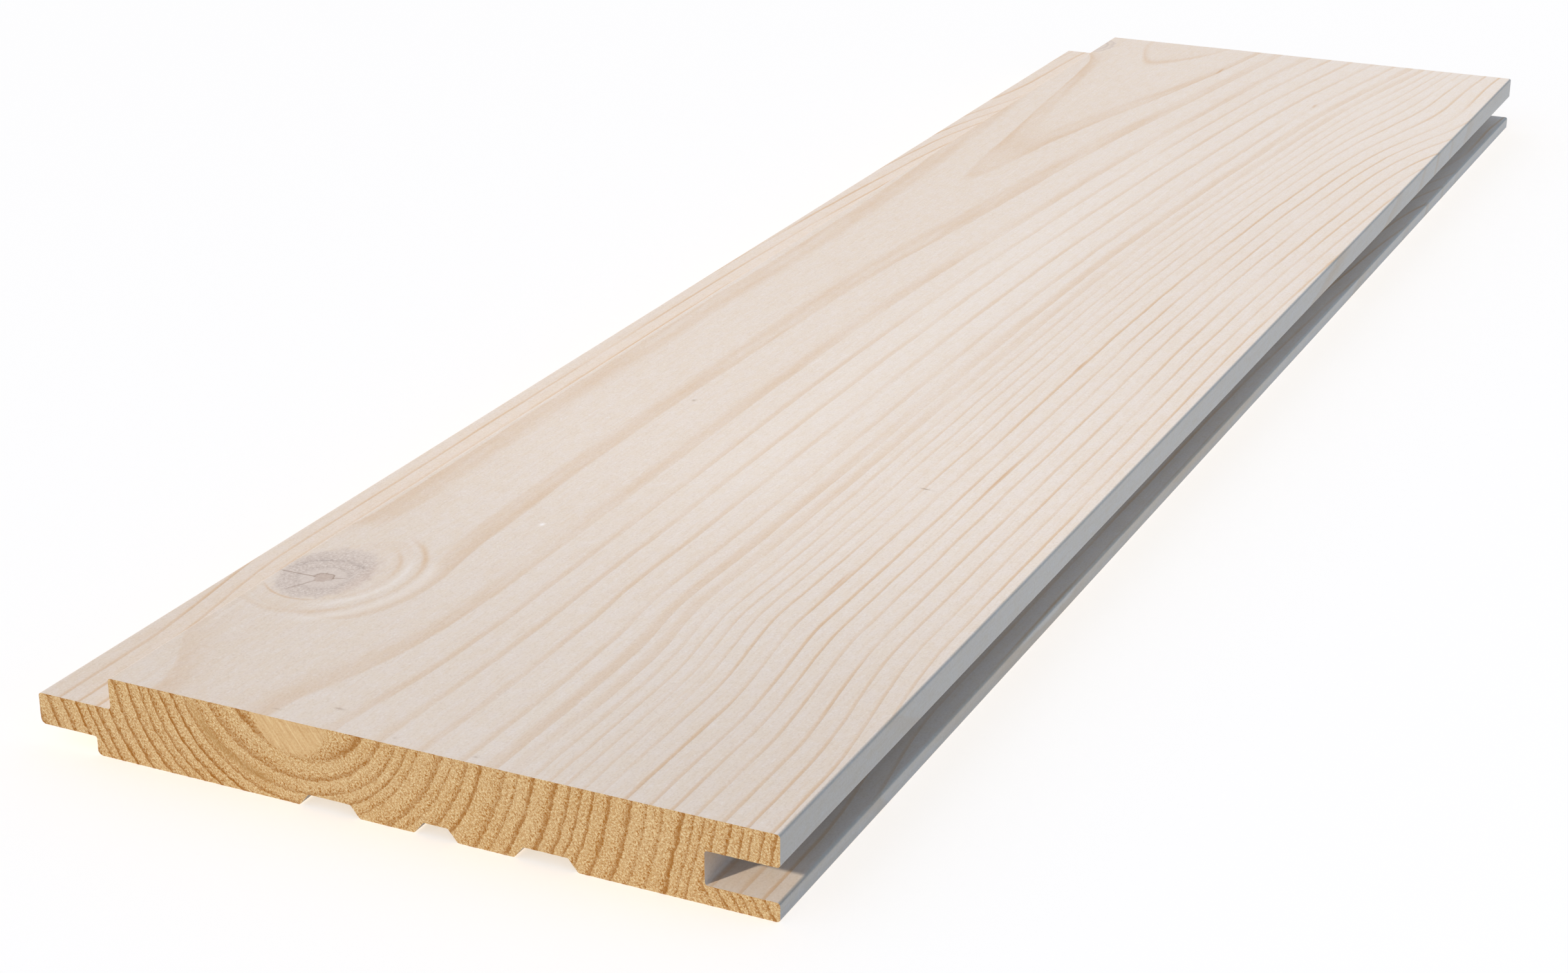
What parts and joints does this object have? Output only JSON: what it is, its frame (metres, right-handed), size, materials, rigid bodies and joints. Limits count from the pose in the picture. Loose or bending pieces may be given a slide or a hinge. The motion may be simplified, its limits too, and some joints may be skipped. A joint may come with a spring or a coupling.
{
  "type": "tongue and groove board",
  "caption": "Long flat pine panel board with a tongue along one edge, a matching groove along the other, a shadow step beside the tongue and shallow relief channels in the back.",
  "frame": {"origin": "middle of the board on its back face", "axes": "+X across the board from the tongue to the groove, +Y along the board, +Z from the back face to the show face"},
  "size_m": [0.12, 0.434, 0.013],
  "materials": {
    "white_glazed_pine": "thin matt white glaze on planed pine, both sawn ends bare"
  },
  "bodies": {
    "root": {"board": "white_glazed_pine"}
  },
  "joints": []
}
